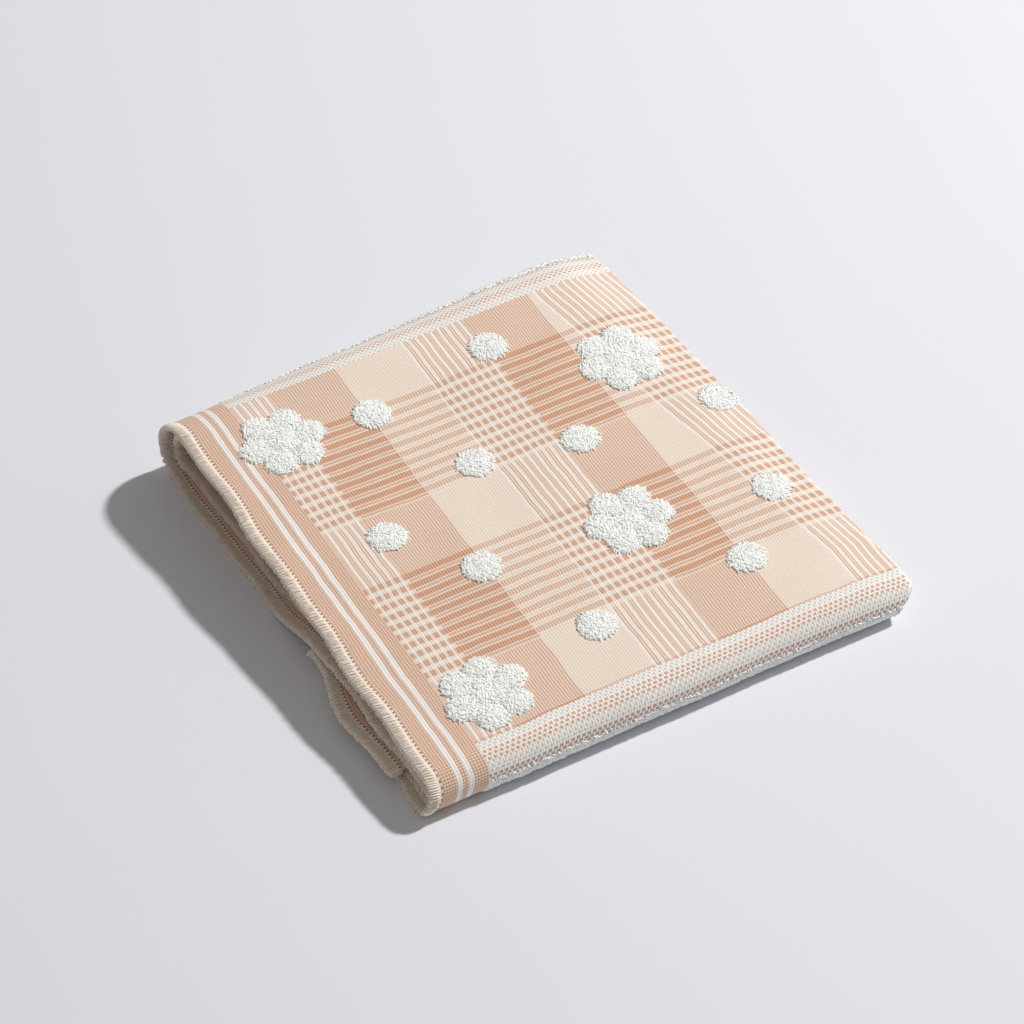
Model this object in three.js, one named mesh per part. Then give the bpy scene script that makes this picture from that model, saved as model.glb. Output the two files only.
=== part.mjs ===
// A hand towel, folded in half along its length and then to and fro into a near-square packet.
//
// Millimetres, +Z up. X runs across the packet, from the open hems at -X to the long fold at +X.
// Y runs from the thick rounded front fold at -Y to the tall back wall at +Y.
// The origin is under the middle of the packet, on the surface it lies on.
import * as THREE from 'three';

// The cloth
const SHEET = 1.2;            // one layer of the towel
const SLIT = 0.3;             // between the two layers of the half that is folded over
const HALF = SHEET + SLIT / 2;
const LAYER_GAP = 0.9;        // between one doubled layer and the next

// The folded section, as seen from the open side
const BACK_TOP = 28.9;        // height of the top layer at the back wall
const FRONT_TOP = 14.2;       // height of the top layer at the front fold
const BACK_Y = 69.9;
const FRONT_Y = -107.5;
const TIGHT = 1.65;           // bend radius of a pressed fold, to the middle of the doubled cloth
const ROUND = 5.7;            // bend radius of the thick front fold
const TIGHT_DROP = 2 * TIGHT + 0.1;
const FLOOR = HALF;           // height of the middle of a double layer that lies on the surface
const SECOND = FLOOR + TIGHT_DROP;

// How finely the section and the width are divided
const RUN_STEP = 14;
const SHORTEST_RUN = 0.2;     // what is left of a run between two bends that nearly meet
const BEND_STEP = THREE.MathUtils.degToRad(23);
const ACROSS = [0, 0.05, 0.16, 0.3, 0.45, 0.6, 0.73, 0.85, 0.94, 1];
const FOLD_STEPS = 4;

// Height of the middle of the top double layer, and of the one tucked in under it
const slope = (BACK_TOP - FRONT_TOP) / (BACK_Y - FRONT_Y);
const topAt = (y) => FRONT_TOP + slope * (y - FRONT_Y) - HALF;
const tuckedAt = (y) => topAt(y) - 2 * HALF - LAYER_GAP;

// Places that two rows of the fold table share
const ROLL_Y = -107.6;
const ROLL_TOP = topAt(ROLL_Y);
const INNER_Y = -104;
const INNER_TOP = tuckedAt(INNER_Y);
const INNER_LOW = INNER_TOP - TIGHT_DROP;
const LOWER_Y = -30;

// The folds, from the end that is tucked in under the top to the end that lies over the floor
// layer. Each row is a corner of the section, rounded to its bend radius.
//   y, z     place of the corner
//   bend     radius of the rounding
//   hem      where the upper hem lies across the packet, 0 on the line of the top hem
//   setBack  how far the other hem lies behind it
//   reach    where the long fold lies across the packet
//   lean     how much further back the corner lies at the long fold than at the hems
const FOLDS = [
  { name: 'tucked end', y: 69.5, z: 15.8, bend: 0, hem: 2.2, setBack: 3, reach: 160, lean: 10 },
  { name: 'tucked bend', y: 64.5, z: tuckedAt(64.5), bend: 11, hem: 1.6, setBack: 4, reach: 160, lean: 10 },
  { name: 'inner top', y: INNER_Y, z: INNER_TOP, bend: TIGHT, hem: 1.4, setBack: 2, reach: 172.5, lean: 0 },
  { name: 'inner low', y: INNER_Y, z: INNER_LOW, bend: TIGHT, hem: 1.2, setBack: 1.2, reach: 172.5, lean: 0 },
  { name: 'over the lower end', y: -84, z: 8, bend: 60, hem: 0.8, setBack: 1.2, reach: 171, lean: 0 },
  { name: 'crest', y: -62, z: 9.7, bend: 80, hem: 0.5, setBack: 3, reach: 169, lean: 0 },
  { name: 'start of the dip', y: -41, z: 9.9, bend: 30, hem: 0.3, setBack: 5, reach: 167, lean: 0 },
  { name: 'foot of the dip', y: 4, z: FLOOR, bend: 50, hem: 0, setBack: 6, reach: 165, lean: 2 },
  { name: 'floor crease', y: 62, z: FLOOR, bend: 12, hem: 0, setBack: 6, reach: 163, lean: 10 },
  { name: 'wall foot', y: 76.4, z: 3.1, bend: 5.5, hem: -0.4, setBack: 5, reach: 162, lean: 10 },
  { name: 'wall head', y: 76.05, z: topAt(76.05), bend: 18, hem: 0, setBack: 5, reach: 162.5, lean: 10 },
  { name: 'middle of the top', y: -36, z: topAt(-36), bend: 0, hem: 0, setBack: 6, reach: 166.9, lean: 0.5 },
  { name: 'front top', y: ROLL_Y, z: ROLL_TOP, bend: ROUND, hem: 0, setBack: 4, reach: 170.3, lean: 0 },
  { name: 'front low', y: ROLL_Y, z: FLOOR, bend: ROUND, hem: -1.8, setBack: 3, reach: 164.5, lean: 0 },
  { name: 'under low', y: LOWER_Y, z: FLOOR, bend: TIGHT, hem: 1.5, setBack: 5, reach: 166, lean: 0 },
  { name: 'under top', y: LOWER_Y, z: SECOND, bend: TIGHT, hem: -0.8, setBack: 3, reach: 166, lean: 0 },
  { name: 'lower run', y: -62, z: SECOND, bend: 0, hem: -5.6, setBack: 1.5, reach: 167.5, lean: 0 },
  { name: 'lower end', y: -89.5, z: SECOND, bend: 0, hem: -4.4, setBack: 1.2, reach: 168, lean: 0 },
];

// Where the top lies lower than the straight line of its hem
const HOLLOWS = [
  { name: 'slack over the opening', x: 78, y: 12, spanX: 40, spanY: 46, depth: 1.6 },
  { name: 'low back corner', x: 174, y: 88, spanX: 26, spanY: 24, depth: 2.5 },
  { name: 'dent by the long fold', x: 146, y: 6, spanX: 22, spanY: 20, depth: 1.2 },
];
const EDGE_FALL = 0.11;       // share of its height that the stack loses at the long fold
const EDGE_FALL_WIDTH = 24;

// In front of the first line the layers lie pressed together and sink by a share only
const PRESSED_Y = -90;
const SLACK_Y = -20;
const PRESSED_SINK = 0.25;

// The section as a polyline with its corners rounded: points, directions and distances along it,
// and for each row of the table the distance at which its corner is half turned.
function walkSection(folds) {
  const corners = folds.map((fold) => new THREE.Vector2(fold.y, fold.z));
  const along = (a, b) => corners[b].clone().sub(corners[a]).normalize();
  const stations = [{ point: corners[0], direction: along(0, 1), distance: 0 }];
  const marks = [0];
  let last = stations[0];
  const add = (point, direction, length) => {
    last = { point, direction, distance: last.distance + length };
    stations.push(last);
  };
  const addRun = (start, end, direction) => {
    const length = start.distanceTo(end);
    const steps = length > SHORTEST_RUN ? Math.ceil(length / RUN_STEP) : 0;
    for (let i = 1; i <= steps; i += 1) {
      add(start.clone().lerp(end, i / steps), direction, length / steps);
    }
  };

  let exit = corners[0];
  for (let c = 1; c < corners.length - 1; c += 1) {
    const before = along(c - 1, c);
    const after = along(c, c + 1);
    const bend = folds[c].bend;
    const turn = Math.atan2(before.cross(after), before.dot(after));
    const trim = bend * Math.tan(Math.abs(turn) / 2);
    const entry = corners[c].clone().addScaledVector(before, -trim);
    const toCentre = new THREE.Vector2(-before.y, before.x).multiplyScalar(Math.sign(turn) * bend);
    const centre = entry.clone().add(toCentre);
    addRun(exit, entry, before);
    marks.push(last.distance + (bend * Math.abs(turn)) / 2);
    const steps = bend > 0 ? Math.ceil(Math.abs(turn) / BEND_STEP) : 0;
    for (let i = 1; i <= steps; i += 1) {
      const angle = (turn * i) / steps;
      const point = entry.clone().rotateAround(centre, angle);
      const direction = before.clone().rotateAround(new THREE.Vector2(), angle);
      add(point, direction, (bend * Math.abs(turn)) / steps);
    }
    exit = corners[c].clone().addScaledVector(after, trim);
  }
  const end = corners.length - 1;
  addRun(exit, corners[end], along(end - 1, end));
  marks.push(last.distance);
  return { stations, marks };
}

// A column of the fold table at a station, run softly from one row to the next.
function between(folds, marks, station, column) {
  const next = Math.max(1, marks.findIndex((mark) => mark >= station.distance));
  const share = THREE.MathUtils.smoothstep(station.distance, marks[next - 1], marks[next]);
  return THREE.MathUtils.lerp(folds[next - 1][column], folds[next][column], share);
}

// The hairpin across the packet: the upper layer from its hem to the long fold, and back.
// Gives x and the distance from the middle of the double layer, for one side of the cloth.
function hairpin(hem, setBack, reach, fromMiddle) {
  const foldStart = reach - HALF;
  const upper = ACROSS.map((share) => [THREE.MathUtils.lerp(hem, foldStart, share), fromMiddle]);
  const lower = ACROSS.toReversed().map((share) => [
    THREE.MathUtils.lerp(hem + setBack, foldStart, share),
    -fromMiddle,
  ]);
  const turn = [];
  for (let i = 1; i < FOLD_STEPS; i += 1) {
    const angle = Math.PI / 2 - (Math.PI * i) / FOLD_STEPS;
    turn.push([foldStart + fromMiddle * Math.cos(angle), fromMiddle * Math.sin(angle)]);
  }
  return [...upper, ...turn, ...lower];
}

// How the packet settles: the top and what hangs under it sink, what lies on the surface stays.
function settle(x, y, z, reach) {
  const sunk = HOLLOWS.reduce((sum, h) => {
    const away = ((x - h.x) / h.spanX) ** 2 + ((y - h.y) / h.spanY) ** 2;
    return sum + h.depth * Math.exp(-away);
  }, 0);
  const ceiling = tuckedAt(y) - HALF;
  const nearFold = THREE.MathUtils.smoothstep(x, reach - EDGE_FALL_WIDTH, reach);
  const slack = THREE.MathUtils.smoothstep(y, PRESSED_Y, SLACK_Y);
  const share = THREE.MathUtils.smoothstep(z, FLOOR + HALF, ceiling);
  const sink = sunk * share * THREE.MathUtils.lerp(PRESSED_SINK, 1, slack);
  return z - sink - z * EDGE_FALL * nearFold ** 2;
}

// One side of the cloth as a grid of points, a row for each station.
function clothSide(folds, section, fromMiddle) {
  return section.stations.map((station) => {
    const read = (column) => between(folds, section.marks, station, column);
    const reach = read('reach');
    const lean = read('lean') / reach;
    const out = new THREE.Vector2(station.direction.y, -station.direction.x);
    return hairpin(read('hem'), read('setBack'), reach, fromMiddle).map(([x, offset]) => {
      const y = station.point.x + out.x * offset + lean * x;
      const z = station.point.y + out.y * offset;
      return new THREE.Vector3(x, y, settle(x, y, z, reach));
    });
  });
}

// Two grids of the same size, closed along their edges into one solid.
function closedCloth(outer, inner) {
  const rows = outer.length;
  const columns = outer[0].length;
  const positions = [...outer.flat(), ...inner.flat()].flatMap((p) => [p.x, p.y, p.z]);
  const at = (row, column, side) => side * rows * columns + row * columns + column;
  const triangles = [];
  const quad = (a, b, c, d) => triangles.push(a, c, b, a, d, c);
  for (let r = 0; r < rows - 1; r += 1) {
    for (let c = 0; c < columns - 1; c += 1) {
      quad(at(r, c, 0), at(r, c + 1, 0), at(r + 1, c + 1, 0), at(r + 1, c, 0));
      quad(at(r, c, 1), at(r + 1, c, 1), at(r + 1, c + 1, 1), at(r, c + 1, 1));
    }
    const end = columns - 1;
    quad(at(r, 0, 0), at(r + 1, 0, 0), at(r + 1, 0, 1), at(r, 0, 1));
    quad(at(r, end, 0), at(r, end, 1), at(r + 1, end, 1), at(r + 1, end, 0));
  }
  for (let c = 0; c < columns - 1; c += 1) {
    const end = rows - 1;
    quad(at(0, c, 0), at(0, c, 1), at(0, c + 1, 1), at(0, c + 1, 0));
    quad(at(end, c, 0), at(end, c + 1, 0), at(end, c + 1, 1), at(end, c, 1));
  }
  const geometry = new THREE.BufferGeometry();
  geometry.setAttribute('position', new THREE.Float32BufferAttribute(positions, 3));
  geometry.setIndex(triangles);
  geometry.computeVertexNormals();
  return geometry;
}

// Stand the solid on the surface, over the origin.
function centreOnSurface(geometry) {
  geometry.computeBoundingBox();
  const middle = geometry.boundingBox.getCenter(new THREE.Vector3());
  geometry.translate(-middle.x, -middle.y, -geometry.boundingBox.min.z);
  return geometry;
}

const section = walkSection(FOLDS);
const outerSide = clothSide(FOLDS, section, HALF);
const innerSide = clothSide(FOLDS, section, SLIT / 2);
const towel = new THREE.Mesh(
  centreOnSurface(closedCloth(outerSide, innerSide)),
  new THREE.MeshStandardMaterial({ color: 0xe2bd9f, roughness: 0.95, metalness: 0 }),
);
towel.name = 'towel';

const packet = new THREE.Group();
packet.add(towel);

export default packet;
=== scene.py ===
import ast
import logging
import math
from dataclasses import dataclass, field, fields
from enum import Enum
from typing import ClassVar

import bpy
import numpy as np
from mathutils import Matrix, Vector


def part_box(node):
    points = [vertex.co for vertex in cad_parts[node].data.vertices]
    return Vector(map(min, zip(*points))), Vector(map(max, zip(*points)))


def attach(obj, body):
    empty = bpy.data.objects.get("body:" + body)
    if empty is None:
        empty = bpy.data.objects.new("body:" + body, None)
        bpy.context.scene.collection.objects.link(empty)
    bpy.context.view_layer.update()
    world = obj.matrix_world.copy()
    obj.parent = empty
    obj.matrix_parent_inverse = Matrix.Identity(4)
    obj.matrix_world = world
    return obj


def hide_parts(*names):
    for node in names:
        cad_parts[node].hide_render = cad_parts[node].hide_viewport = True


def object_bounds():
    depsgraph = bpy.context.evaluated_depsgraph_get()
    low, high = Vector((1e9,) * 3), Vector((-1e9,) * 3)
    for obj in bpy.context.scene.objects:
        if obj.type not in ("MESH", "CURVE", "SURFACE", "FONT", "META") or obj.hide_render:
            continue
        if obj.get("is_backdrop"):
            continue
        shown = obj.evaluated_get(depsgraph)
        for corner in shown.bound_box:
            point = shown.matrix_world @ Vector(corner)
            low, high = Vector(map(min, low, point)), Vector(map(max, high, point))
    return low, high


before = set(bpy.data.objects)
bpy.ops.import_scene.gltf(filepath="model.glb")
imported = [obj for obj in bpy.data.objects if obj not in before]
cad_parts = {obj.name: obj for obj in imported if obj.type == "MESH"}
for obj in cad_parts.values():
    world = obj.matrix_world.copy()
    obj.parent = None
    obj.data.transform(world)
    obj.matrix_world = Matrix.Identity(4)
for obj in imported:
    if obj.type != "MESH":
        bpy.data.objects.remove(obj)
CAD_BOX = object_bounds()

MM = 0.001
BODY = "root"
CAD_NODE = "towel"
UV_NAME = "woven"

log = logging.getLogger("towel")


class Figure(Enum):
    """Raised terry figures on the check."""

    FLOWER = "flower"
    DOT = "dot"


class Spread(Enum):
    """The form of a layer's small yarn pieces: open loops on the cloth, or rings round a hem."""

    LOOPS = "loops"
    RINGS = "rings"


def linear(hex_colour: str) -> tuple[float, float, float, float]:
    """Turn an sRGB hex colour to linear.

    Args:
        hex_colour: a hash and six hex digits.

    Returns:
        Red, green, blue and an alpha of 1.
    """
    channels = [int(hex_colour[i : i + 2], 16) / 255 for i in (1, 3, 5)]
    turned = [c / 12.92 if c <= 0.04045 else ((c + 0.055) / 1.055) ** 2.4 for c in channels]
    return (*turned, 1.0)


def smooth_step(value: np.ndarray, low: np.ndarray | float, high: np.ndarray | float) -> np.ndarray:
    """Ease from 0 at low to 1 at high.

    Args:
        value: what is eased.
        low: where the easing starts.
        high: where it ends.

    Returns:
        The eased share, from 0 to 1.
    """
    share = np.clip((value - low) / (high - low), 0, 1)
    return share * share * (3 - 2 * share)


def add_node(tree: bpy.types.NodeTree, kind: str, links: dict | None = None,
             **settings: object) -> bpy.types.Node:
    """Add a node with its settings and links.

    Args:
        tree: the tree that the node goes into.
        kind: the node's type.
        links: what goes into each input, a socket or a plain value, by name or number.
        settings: attributes of the node.

    Returns:
        The new node.
    """
    node = tree.nodes.new(kind)
    for name, value in settings.items():
        setattr(node, name, value)
    for key, value in (links or {}).items():
        if isinstance(value, bpy.types.NodeSocket):
            tree.links.new(value, node.inputs[key])
        else:
            node.inputs[key].default_value = value
    return node


@dataclass
class Formulas:
    """Sums written as text and turned into math nodes.

    A sum may add, subtract, multiply, divide and compare, call the functions below, and name
    plain numbers, sockets and earlier sums. Equal parts share their nodes.
    """

    tree: bpy.types.NodeTree
    values: dict = field(default_factory=dict)
    made: dict = field(default_factory=dict)

    SIGNS: ClassVar[dict] = {
        ast.Add: "ADD",
        ast.Sub: "SUBTRACT",
        ast.Mult: "MULTIPLY",
        ast.Div: "DIVIDE",
        ast.Lt: "LESS_THAN",
        ast.Gt: "GREATER_THAN",
    }
    CALLS: ClassVar[dict] = {
        "fract": "FRACT",
        "floor": "FLOOR",
        "low": "MINIMUM",
        "high": "MAXIMUM",
        "sine": "SINE",
    }

    def let(self, **sums: str) -> None:
        """Name the results of some sums, in order."""
        for name, text in sums.items():
            self.values[name] = self.build(ast.parse(text).body[0].value)

    def build(self, part: ast.AST) -> float | bpy.types.NodeSocket:
        """Build one part of a sum.

        Args:
            part: a number, a name, a sum, a comparison or a call.

        Returns:
            A plain number, or the socket that holds the result.
        """
        if isinstance(part, ast.Constant):
            return float(part.value)
        if isinstance(part, ast.Name):
            return self.values[part.id]
        if isinstance(part, ast.Call):
            kind, parts = self.CALLS[part.func.id], part.args
        elif isinstance(part, ast.Compare):
            kind, parts = self.SIGNS[type(part.ops[0])], [part.left, part.comparators[0]]
        else:
            kind, parts = self.SIGNS[type(part.op)], [part.left, part.right]
        inputs = [self.build(p) for p in parts]
        names = [str(i) if isinstance(i, float) else f"{i.node.name}/{i.name}" for i in inputs]
        key = " ".join([kind, *names])
        if key not in self.made:
            node = add_node(self.tree, "ShaderNodeMath", dict(enumerate(inputs)), operation=kind)
            self.made[key] = node.outputs[0]
        return self.made[key]


@dataclass(frozen=True)
class Fold:
    """A corner of the folded section, rounded to its bend radius, in millimetres.

    hem is where the upper hem lies across the packet, set_back how far the other hem lies behind
    it, reach where the long fold lies, lean how much further back the corner lies at the long
    fold, and step the spacing of the mesh on the way to the corner.
    """

    name: str
    y: float
    z: float
    bend: float
    hem: float
    set_back: float
    reach: float
    lean: float
    step: float


@dataclass(frozen=True)
class Hollow:
    """A soft trough in the way the top lies, in millimetres."""

    name: str
    x: float
    y: float
    span_x: float
    span_y: float
    depth: float


@dataclass
class Packet:
    """The towel as it lies folded: its section, how it settles, and where each bit of cloth goes.

    Sizes are in millimetres. Y runs from the front fold at -Y to the back wall at +Y, X from the
    line of the top hem to the long fold, and distances run along the section, from the end that
    is tucked in under the top to the end that lies over the floor layer.
    """

    sheet: float = 1.2
    slit: float = 0.3
    layer_gap: float = 0.9
    back_top: float = 28.9
    front_top: float = 14.2
    back_y: float = 69.9
    front_y: float = -107.5
    tight: float = 1.65
    round: float = 5.7
    tight_room: float = 0.1
    bend_step: float = math.radians(7)
    shortest_run: float = 0.2
    roll_y: float = -107.6
    inner_y: float = -104.0
    lower_y: float = -30.0
    edge_fall: float = 0.11
    edge_fall_width: float = 24.0
    pressed_y: float = -90.0
    slack_y: float = -20.0
    pressed_sink: float = 0.25
    ripple: float = 0.3
    hem_wave: float = 0.35
    hem_wave_width: float = 18.0
    cloth_width: float = 340.0
    pattern_y: float = -1.9
    fine: float = 1.9
    coarse: float = 3.4
    find_rounds: int = 5

    def __post_init__(self) -> None:
        """Walk the section, and stand the packet where its solid stands."""
        self.half = self.sheet + self.slit / 2
        self.middle = (self.sheet + self.slit) / 2
        self.folds = self.fold_table()
        self.hollows = self.hollow_table()
        self.walk()
        low = np.array(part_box(CAD_NODE)[0]) / MM
        outermost = min(fold.hem for fold in self.folds)
        self.shift = low - np.array([outermost, self.roll_y - self.half, 0.0])

    def top_at(self, y: float | np.ndarray) -> float | np.ndarray:
        """Height of the middle of the top double layer."""
        slope = (self.back_top - self.front_top) / (self.back_y - self.front_y)
        return self.front_top + slope * (y - self.front_y) - self.half

    def tucked_at(self, y: float | np.ndarray) -> float | np.ndarray:
        """Height of the middle of the double layer under the top."""
        return self.top_at(y) - 2 * self.half - self.layer_gap

    def fold_table(self) -> list[Fold]:
        """List the corners of the section.

        Returns:
            The corners, from the tucked end to the lower end.
        """
        low, drop = self.half, 2 * self.tight + self.tight_room
        tight, roll, inner, under = self.tight, self.roll_y, self.inner_y, self.lower_y
        inner_top = self.tucked_at(inner)
        fine, coarse = self.fine, self.coarse
        return [
            Fold("tucked end", 69.5, 15.8, 0, 2.2, 3, 160, 10, coarse),
            Fold("tucked bend", 64.5, self.tucked_at(64.5), 11, 1.6, 4, 160, 10, coarse),
            Fold("tucked middle", -10, self.tucked_at(-10), 0, 6.5, 3, 165, 4, coarse),
            Fold("inner fold, upper", inner, inner_top, tight, 1.4, 2, 172.5, 0, coarse),
            Fold("inner fold, lower", inner, inner_top - drop, tight, 1.2, 1.2, 172.5, 0, coarse),
            Fold("over the lower end", -84, 8, 60, 0.8, 1.2, 171, 0, coarse),
            Fold("crest", -62, 9.7, 80, 0.5, 3, 169, 0, coarse),
            Fold("start of the dip", -41, 9.9, 30, 0.3, 5, 167, 0, coarse),
            Fold("foot of the dip", 4, low, 50, 0, 6, 165, 2, coarse),
            Fold("floor crease", 62, low, 12, 0, 6, 163, 10, coarse),
            Fold("wall foot", 76.4, 3.1, 5.5, -0.4, 5, 162, 10, fine),
            Fold("wall head", 76.05, self.top_at(76.05), 18, 0, 5, 162.5, 10, fine),
            Fold("middle of the top", -36, self.top_at(-36), 0, 0, 6, 166.9, 0.5, fine),
            Fold("front fold, upper", roll, self.top_at(roll), self.round, 0, 4, 170.3, 0, fine),
            Fold("front fold, lower", roll, low, self.round, -1.8, 3, 164.5, 0, fine),
            Fold("lower fold, floor", under, low, tight, 1.5, 5, 166, 0, coarse),
            Fold("lower fold, upper", under, low + drop, tight, -0.8, 3, 166, 0, coarse),
            Fold("lower run", -62, low + drop, 0, -5.6, 1.5, 167.5, 0, coarse),
            Fold("lower end", -89.5, low + drop, 0, -4.4, 1.2, 168, 0, coarse),
        ]

    def hollow_table(self) -> list[Hollow]:
        """List where the top lies lower than the straight line of its hem.

        Returns:
            The troughs.
        """
        return [
            Hollow("slack over the opening", 78, 12, 40, 46, 1.6),
            Hollow("low back corner", 174, 88, 26, 24, 2.5),
            Hollow("dent by the long fold", 146, 6, 22, 20, 1.2),
        ]

    def walk(self) -> None:
        """Walk the section from corner to corner, with each corner rounded, and note the stations."""
        corners = [Vector((fold.y, fold.z)) for fold in self.folds]
        heading = (corners[1] - corners[0]).normalized()
        walked = [(*corners[0], *heading, 0.0)]
        marks = [0.0]

        def add_run(end: Vector, step: float) -> None:
            """Note the stations of a straight stretch.

            Args:
                end: where it ends.
                step: the most that two stations lie apart.
            """
            start = Vector(walked[-1][:2])
            length = (end - start).length
            if length <= self.shortest_run:
                return
            steps = math.ceil(length / step)
            ahead, base = (end - start).normalized(), walked[-1][4]
            for i in range(1, steps + 1):
                walked.append((*start.lerp(end, i / steps), *ahead, base + length * i / steps))

        for c in range(1, len(corners) - 1):
            bend = self.folds[c].bend
            before = (corners[c] - corners[c - 1]).normalized()
            after = (corners[c + 1] - corners[c]).normalized()
            turn = math.atan2(before.x * after.y - before.y * after.x, before.dot(after))
            entry = corners[c] - before * (bend * math.tan(abs(turn) / 2))
            centre = entry + Vector((-before.y, before.x)) * math.copysign(bend, turn)
            add_run(entry, self.folds[c].step)
            base = walked[-1][4]
            marks.append(base + bend * abs(turn) / 2)
            steps = math.ceil(abs(turn) / self.bend_step) if bend > 0 else 0
            for i in range(1, steps + 1):
                turned = Matrix.Rotation(turn * i / steps, 2)
                point = centre + turned @ (entry - centre)
                walked.append((*point, *(turned @ before), base + bend * abs(turn) * i / steps))
        add_run(corners[-1], self.folds[-1].step)
        self.note(np.array(walked), np.array([*marks, walked[-1][4]]))

    def note(self, walked: np.ndarray, marks: np.ndarray) -> None:
        """Keep the stations as columns that can be read at any distance.

        Args:
            walked: place, heading and distance of each station.
            marks: distance of each corner.
        """
        self.marks = marks
        self.stations = walked[:, 4]
        self.length = float(marks[-1])
        ahead_y = walked[:, 2]
        self.columns = {"y": walked[:, 0], "z": walked[:, 1], "out_y": walked[:, 3], "out_z": -ahead_y}
        corner = np.clip(np.searchsorted(marks, self.stations), 1, len(marks) - 1)
        share = smooth_step(self.stations, marks[corner - 1], marks[corner])
        for name in ("hem", "set_back", "reach", "lean"):
            values = np.array([getattr(fold, name) for fold in self.folds])
            self.columns[name] = values[corner - 1] + (values[corner] - values[corner - 1]) * share
        gained = np.diff(self.columns["lean"]) * (ahead_y[1:] + ahead_y[:-1]) / 2
        self.columns["gained"] = np.concatenate([[0.0], np.cumsum(gained)])
        top = (self.stations > self.mark("wall head")) & (self.stations < self.mark("front fold, upper"))
        self.zero = float(np.interp(-self.pattern_y, -self.columns["y"][top], self.stations[top]))

    def mark(self, name: str) -> float:
        """Distance at which the named corner is half turned."""
        return float(self.marks[[fold.name for fold in self.folds].index(name)])

    def read(self, distance: np.ndarray | float, column: str) -> np.ndarray:
        """Read one column at any distance along the section."""
        return np.interp(distance, self.stations, self.columns[column])

    def settle(self, x: np.ndarray, y: np.ndarray, z: np.ndarray, reach: np.ndarray) -> np.ndarray:
        """Sink the top and what hangs under it, and leave what lies on the surface.

        Args:
            x: places across the packet.
            y: places from front to back.
            z: heights before settling.
            reach: where the long fold lies at each place.

        Returns:
            The settled heights.
        """
        sunk = np.zeros_like(z)
        for hollow in self.hollows:
            away = ((x - hollow.x) / hollow.span_x) ** 2 + ((y - hollow.y) / hollow.span_y) ** 2
            sunk += hollow.depth * np.exp(-away)
        ceiling = self.tucked_at(y) - self.half
        near_fold = smooth_step(x, reach - self.edge_fall_width, reach)
        share = smooth_step(z, 2 * self.half, ceiling)
        slack = smooth_step(y, self.pressed_y, self.slack_y)
        sink = sunk * share * (self.pressed_sink + (1 - self.pressed_sink) * slack)
        return z - sink - z * self.edge_fall * near_fold**2

    def waves(self, distance: np.ndarray, x: np.ndarray) -> np.ndarray:
        """Work out the small uneven waves of the cloth.

        The spans are in millimetres and all unlike, so that their sum looks uneven.

        Args:
            distance: distances along the section.
            x: distances across the packet.

        Returns:
            The waves, from -1 to 1.
        """
        first = np.sin(x / 6.3 + 1.7 * np.sin(distance / 17)) * np.sin(distance / 8.9 + x / 23)
        second = np.sin(x / 13.7 - distance / 21 + 0.8) * np.sin(distance / 14.3 - x / 37)
        return 0.4 * first + 0.6 * second

    def place(self, distance: np.ndarray, x: np.ndarray, offset: np.ndarray) -> np.ndarray:
        """Put points of the cloth where they lie.

        Args:
            distance: distances along the section.
            x: distances from the line of the top hem, across the packet.
            offset: distances from the middle of the doubled cloth, positive to its upper sheet.

        Returns:
            A last axis of x, y and z for each point, in millimetres in the object's frame.
        """
        out_y, out_z = self.read(distance, "out_y"), self.read(distance, "out_z")
        norm = np.hypot(out_y, out_z)
        reach, hem = self.read(distance, "reach"), self.read(distance, "hem")
        # Cloth that lies on the surface has no ripple.
        above = smooth_step(self.read(distance, "z"), 1.5 * self.half, 3 * self.half)
        offset = offset + self.ripple * self.waves(distance, x) * above
        # The two hems wander apart, because the side that a sheet lies on shifts its waves.
        near_hem = 1 - smooth_step(x - hem, 0, self.hem_wave_width)
        side = np.sign(offset)
        wobble = np.sin(distance / 9.4 + side) + np.sin(distance / 5.3 + 2 * side + 1)
        x = x + self.hem_wave * wobble * near_hem
        y = self.read(distance, "y") + out_y / norm * offset + self.read(distance, "lean") / reach * x
        z = self.read(distance, "z") + out_z / norm * offset
        return np.stack([x, y, self.settle(x, y, z, reach)], -1) + self.shift

    def lay(self, distance: np.ndarray, u: np.ndarray, height: np.ndarray) -> tuple[np.ndarray, np.ndarray]:
        """Lay a strip of the real cloth across the packet: upper sheet, long fold and lower sheet.

        Args:
            distance: distances along the section.
            u: distances across the real cloth, from the upper hem.
            height: heights over the outer face of the cloth.

        Returns:
            The distances across the packet, and from the middle of the doubled cloth.
        """
        hem = self.read(distance, "hem")
        start = self.read(distance, "reach") - self.half
        other = hem + self.read(distance, "set_back")
        turn_from = start - hem
        turn_to = turn_from + math.pi * self.middle
        angle = math.pi / 2 - np.clip((u - turn_from) / self.middle, 0, math.pi)
        below = start - (u - turn_to) / (self.cloth_width - turn_to) * (start - other)
        flat_x = np.where(u <= turn_to, np.minimum(u, turn_from) + hem, below)
        radius = self.half + height
        return flat_x + radius * np.cos(angle), radius * np.sin(angle)

    def surface(self, distance: np.ndarray, u: np.ndarray, height: np.ndarray) -> np.ndarray:
        """Place points at a height over the outer face of the cloth."""
        x, offset = self.lay(distance, u, height)
        return self.place(distance, x, offset)

    def woven_v(self, distance: np.ndarray, x: np.ndarray) -> np.ndarray:
        """Distance along the real cloth from the pattern's zero line."""
        skew = self.read(distance, "gained") - self.read(self.zero, "gained") - self.read(self.zero, "lean")
        return distance - self.zero + skew * x / self.read(distance, "reach")

    def find(self, u: np.ndarray, v: np.ndarray) -> np.ndarray:
        """Find where along the section a place of the real cloth lies.

        Args:
            u: distances across the real cloth, from the upper hem.
            v: distances along it, from the pattern's zero line.

        Returns:
            The distances along the section.
        """
        distance = self.zero + v
        for _ in range(self.find_rounds):
            x = self.lay(distance, u, np.zeros_like(u))[0]
            distance = distance + v - self.woven_v(distance, x)
        return distance


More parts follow.
